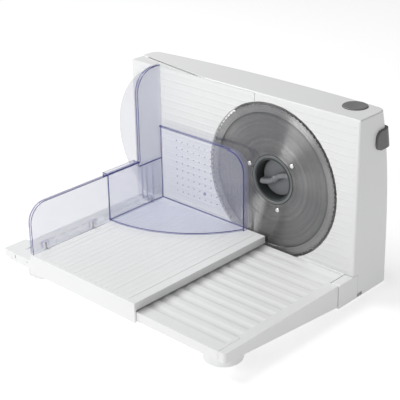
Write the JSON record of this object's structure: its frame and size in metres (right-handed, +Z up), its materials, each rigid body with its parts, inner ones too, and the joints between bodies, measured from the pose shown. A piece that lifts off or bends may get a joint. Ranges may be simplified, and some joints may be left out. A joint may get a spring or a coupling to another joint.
{
  "type": "food slicer",
  "caption": "Folding electric food slicer with a serrated round blade, a stop plate that slides back, a carriage with a clear fence and pusher on a rail, and a wedge base that folds up.",
  "frame": {"origin": "on the table, under the stop face and the blade's axis, at the centre of the middle rubber pad", "axes": "+X to the right along the stop face, +Y to the back, +Z up; the blade turns about Y"},
  "size_m": [0.3455, 0.2763, 0.203],
  "materials": {
    "white_plastic": "satin",
    "inner_plastic": "satin",
    "grey_plastic": "satin",
    "hub_plastic": "satin",
    "grip_plastic": "satin",
    "wheel_plastic": "satin",
    "clear_plastic": "clear",
    "blade_steel": "brushed",
    "bright_steel": "polished",
    "steel": "plain",
    "motor_steel": "plain",
    "rotor_iron": "plain",
    "magnet": "plain",
    "copper": "plain",
    "carbon": "plain",
    "bronze": "plain",
    "cast_frame": "cast",
    "rubber": "matt"
  },
  "bodies": {
    "casing": {"housing_shell": "white_plastic", "front_panel": "white_plastic", "chassis_base": "white_plastic", "hinge_pins": "steel", "housing_screws": "steel", "housing_pads": "rubber", "rod_bushes": "bronze", "spindle_bushes": "bronze", "gear_frame": "cast_frame", "motor_can": "motor_steel", "motor_end_bell": "hub_plastic", "motor_magnets": "magnet", "motor_brushes": "carbon", "worm_bush": "bronze", "switch_bracket": "inner_plastic", "micro_switch": "hub_plastic", "cable_gland": "rubber", "top_button_spring": "steel"},
    "stop_plate": {"gauge_plate": "white_plastic", "gauge_carrier": "inner_plastic", "gauge_nut": "inner_plastic", "gauge_rods": "steel"},
    "dial": {"thickness_dial": "grey_plastic", "dial_shaft": "inner_plastic"},
    "cutter": {"blade": "blade_steel", "blade_hub": "hub_plastic", "hub_ring": "bright_steel", "blade_rivets": "bright_steel", "blade_spindle": "steel", "worm_wheel": "wheel_plastic"},
    "lock": {"lock_grip": "grip_plastic"},
    "rotor": {"armature": "rotor_iron", "commutator": "copper", "motor_shaft": "steel", "worm": "steel"},
    "press_button": {"top_button": "grey_plastic"},
    "side_pad": {"safety_button": "grey_plastic", "safety_spring": "steel"},
    "base": {"base_tray": "white_plastic", "front_feet": "white_plastic", "foot_pads": "rubber"},
    "rail": {"guide_rail": "white_plastic", "rail_shoes": "rubber"},
    "carriage": {"carriage_plate": "white_plastic", "side_fence": "clear_plastic", "fence_screws": "steel", "carriage_glides": "inner_plastic"},
    "pusher": {"food_pusher": "clear_plastic"}
  },
  "joints": [
    {"name": "blade_spin", "type": "hinge", "parent": "casing", "child": "cutter", "pos_m": [0, 0, 0.1062], "axis": [0, -1, 0], "continuous": true},
    {"name": "lock_turn", "type": "hinge", "parent": "cutter", "child": "lock", "pos_m": [0, 0, 0.1062], "axis": [0, -1, 0], "range_deg": [0, 60]},
    {"name": "motor_spin", "type": "hinge", "parent": "casing", "child": "rotor", "pos_m": [0.0375, 0.0405, 0.1062], "axis": [0, 0, 1], "continuous": true},
    {"name": "dial_turn", "type": "hinge", "parent": "casing", "child": "dial", "pos_m": [-0.187, 0.0589, 0.112], "axis": [0, 1, 0], "range_deg": [0, 300]},
    {"name": "gauge_slide", "type": "slide", "parent": "casing", "child": "stop_plate", "axis": [0, 1, 0], "range_m": [0, 0.012]},
    {"name": "switch_press", "type": "slide", "parent": "casing", "child": "press_button", "axis": [0, 0, -1], "range_m": [0, 0.0025], "stiffness_N_per_m": 600, "springref_m": -0.002, "deforming": ["top_button_spring"]},
    {"name": "safety_press", "type": "slide", "parent": "casing", "child": "side_pad", "axis": [-1, 0, 0], "range_m": [0, 0.002], "stiffness_N_per_m": 600, "springref_m": -0.002},
    {"name": "base_fold", "type": "hinge", "parent": "casing", "child": "base", "pos_m": [0, -0.0213, 0.026], "axis": [-1, 0, 0], "range_deg": [0, 90]},
    {"name": "rail_lift", "type": "slide", "parent": "casing", "child": "rail", "axis": [0, 0, 1], "range_m": [0, 0.4713]},
    {"name": "carriage_slide", "type": "slide", "parent": "rail", "child": "carriage", "axis": [1, 0, 0], "range_m": [-0.045, 0.105]},
    {"name": "pusher_slide", "type": "slide", "parent": "carriage", "child": "pusher", "axis": [0, -1, 0], "range_m": [0, 0.075]}
  ],
  "couplings": [
    {"joint": "motor_spin", "follows": "blade_spin", "ratio": -40},
    {"joint": "dial_turn", "follows": "gauge_slide", "rad_per_m": 436.3},
    {"joint": "rail_lift", "follows": "base_fold", "m_per_rad": 0.3}
  ]
}
